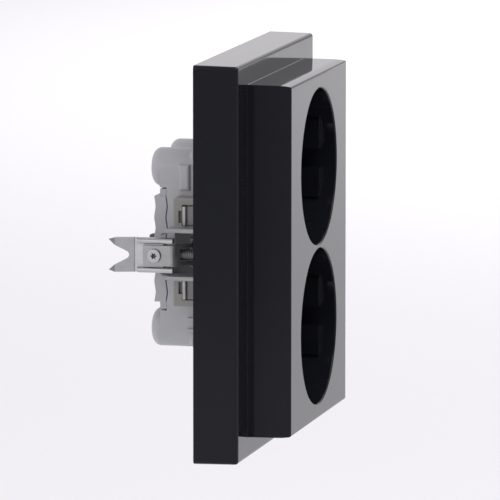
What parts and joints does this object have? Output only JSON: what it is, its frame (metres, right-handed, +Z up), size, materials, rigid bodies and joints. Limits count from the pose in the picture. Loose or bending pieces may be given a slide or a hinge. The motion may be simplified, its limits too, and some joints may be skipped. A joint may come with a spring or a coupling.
{
  "type": "double wall socket",
  "caption": "Double earthed wall socket for one round wall box, with frame, cover, insert, screwless terminals and spreading claws.",
  "frame": {"origin": "middle of the wall plane, on the axis of the wall box", "axes": "-Y out of the wall towards the user, +Y into the wall box, +X right, +Z up"},
  "size_m": [0.086, 0.0497, 0.1032],
  "materials": {
    "dark_plastic": "gloss",
    "grey_plastic": "satin",
    "lever_plastic": "satin",
    "zinc_steel": "zinc plated",
    "claw_steel": "zinc plated",
    "zinc_screw": "zinc plated",
    "spring_steel": "bright",
    "bare_brass": "bright",
    "tinned_brass": "tinned"
  },
  "bodies": {
    "housing": {"frame": "dark_plastic", "cover": "dark_plastic", "cover_screw_upper": "zinc_screw", "cover_screw_lower": "zinc_screw", "support_plate": "zinc_steel", "contact_cover": "grey_plastic", "insert_body": "grey_plastic", "rear_cover": "grey_plastic", "earth_bracket": "tinned_brass", "middle_earth_clip": "tinned_brass", "clamp_springs_left": "spring_steel", "clamp_springs_earth": "spring_steel", "clamp_springs_right": "spring_steel", "pole_contact_left": "bare_brass", "pole_contact_right": "bare_brass", "claw_pin_left": "zinc_screw", "claw_pin_right": "zinc_screw"},
    "claw_arm_left": {"claw_left": "claw_steel", "claw_strap_left": "claw_steel", "claw_screw_left": "zinc_screw"},
    "tension_screw_left": {"tension_screw_left": "zinc_screw"},
    "tension_nut_left": {"tension_nut_left": "zinc_screw"},
    "claw_arm_right": {"claw_right": "claw_steel", "claw_strap_right": "claw_steel", "claw_screw_right": "zinc_screw"},
    "tension_screw_right": {"tension_screw_right": "zinc_screw"},
    "tension_nut_right": {"tension_nut_right": "zinc_screw"},
    "release_lever_left": {"release_lever_left": "lever_plastic"},
    "release_lever_earth": {"release_lever_earth": "lever_plastic"},
    "release_lever_right": {"release_lever_right": "lever_plastic"}
  },
  "joints": [
    {"name": "tension_screw_turn_left", "type": "hinge", "parent": "housing", "child": "tension_screw_left", "pos_m": [-0.0235, 0, 0], "axis": [0, 1, 0], "range_deg": [0, 1800]},
    {"name": "claw_swing_left", "type": "hinge", "parent": "housing", "child": "claw_arm_left", "pos_m": [-0.02, 0.0046, 0], "axis": [0, 0, 1], "range_deg": [0, 20]},
    {"name": "tension_nut_slide_left", "type": "slide", "parent": "housing", "child": "tension_nut_left", "axis": [0, -1, 0], "range_m": [0, 0.0025]},
    {"name": "tension_screw_turn_right", "type": "hinge", "parent": "housing", "child": "tension_screw_right", "pos_m": [0.0235, 0, 0], "axis": [0, 1, 0], "range_deg": [0, 1800]},
    {"name": "claw_swing_right", "type": "hinge", "parent": "housing", "child": "claw_arm_right", "pos_m": [0.02, 0.0046, 0], "axis": [0, 0, -1], "range_deg": [0, 20]},
    {"name": "tension_nut_slide_right", "type": "slide", "parent": "housing", "child": "tension_nut_right", "axis": [0, -1, 0], "range_m": [0, 0.0025]},
    {"name": "release_lever_press_left", "type": "slide", "parent": "housing", "child": "release_lever_left", "axis": [0, -1, 0], "range_m": [0, 0.0012], "stiffness_N_per_m": 1500},
    {"name": "release_lever_press_earth", "type": "slide", "parent": "housing", "child": "release_lever_earth", "axis": [0, -1, 0], "range_m": [0, 0.0012], "stiffness_N_per_m": 1500},
    {"name": "release_lever_press_right", "type": "slide", "parent": "housing", "child": "release_lever_right", "axis": [0, -1, 0], "range_m": [0, 0.0012], "stiffness_N_per_m": 1500}
  ],
  "couplings": [
    {"joint": "tension_screw_turn_left", "follows": "claw_swing_left", "ratio": 89.99},
    {"joint": "tension_nut_slide_left", "follows": "claw_swing_left", "m_per_rad": 0.00716},
    {"joint": "tension_screw_turn_right", "follows": "claw_swing_right", "ratio": 89.99},
    {"joint": "tension_nut_slide_right", "follows": "claw_swing_right", "m_per_rad": 0.00716}
  ]
}
